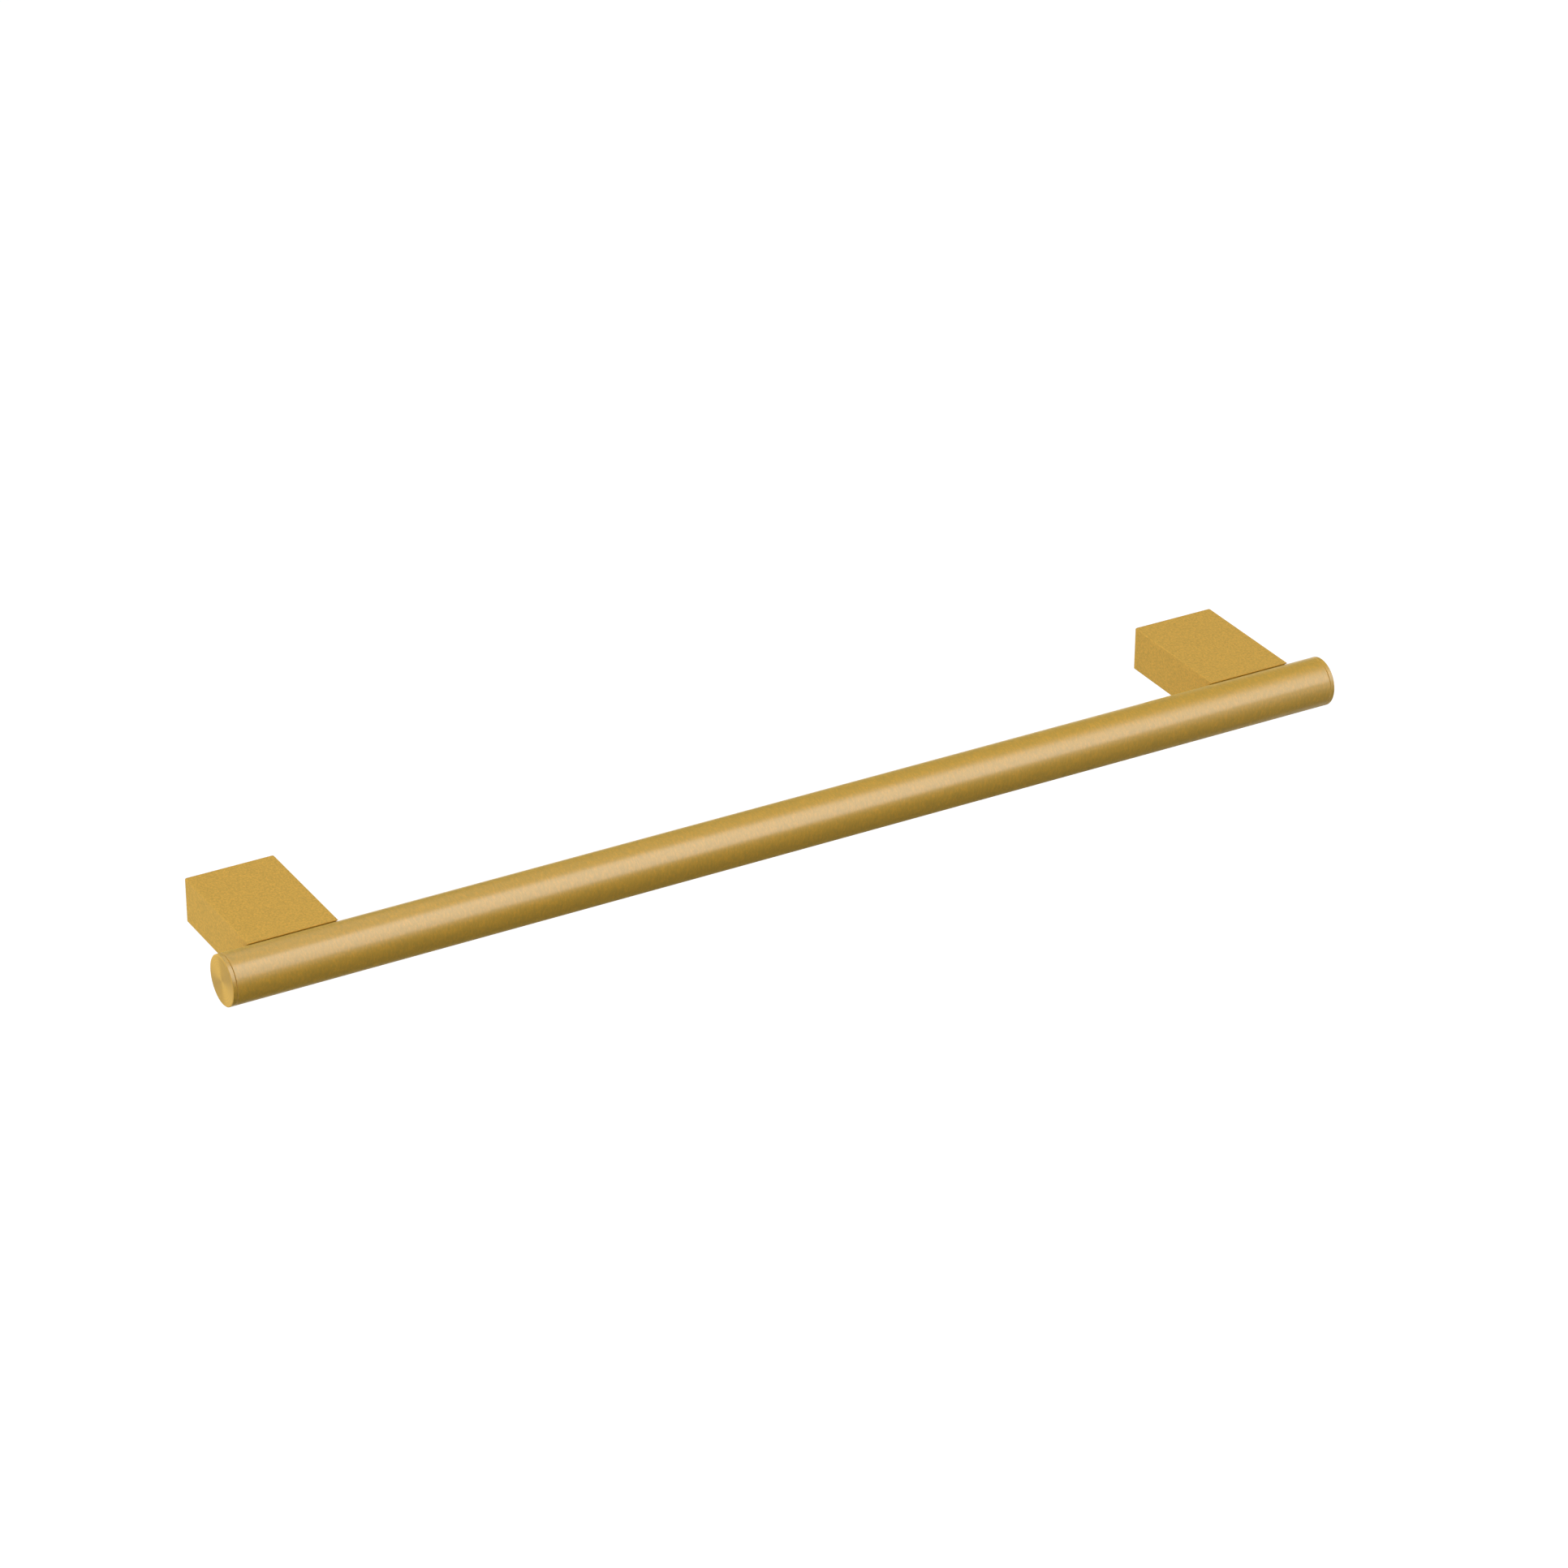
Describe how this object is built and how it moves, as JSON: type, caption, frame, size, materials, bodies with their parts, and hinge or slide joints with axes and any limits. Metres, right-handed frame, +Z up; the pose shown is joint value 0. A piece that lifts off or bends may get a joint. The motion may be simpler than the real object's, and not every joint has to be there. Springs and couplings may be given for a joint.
{
  "type": "towel bar",
  "caption": "Wall-mounted towel bar: a round bar with flat end caps, held in the saddles of rectangular posts that hide their wall brackets.",
  "frame": {"origin": "on the wall plane, midway between the posts and level with the bar's axis", "axes": "+X along the bar, to the right for someone facing the wall; +Y into the wall; +Z up"},
  "size_m": [0.485, 0.071, 0.02],
  "materials": {
    "gold_tube": "satin gold, brushed round the bar",
    "gold_cap": "satin gold, turned",
    "gold_post": "satin gold, fine grain",
    "bracket_steel": "zinc plated",
    "screw_steel": "plain stainless steel",
    "nut_brass": "machined, unplated"
  },
  "bodies": {
    "root": {"bar_tube": "gold_tube", "end_cap_left": "gold_cap", "end_cap_right": "gold_cap", "post_left": "gold_post", "post_right": "gold_post", "wall_bracket_left": "bracket_steel", "wall_bracket_right": "bracket_steel", "set_screw_left": "screw_steel", "set_screw_right": "screw_steel", "bar_bolt_left": "screw_steel", "bar_bolt_right": "screw_steel", "spring_washer_left": "screw_steel", "spring_washer_right": "screw_steel", "bar_nut_left": "nut_brass", "bar_nut_right": "nut_brass"}
  },
  "joints": []
}
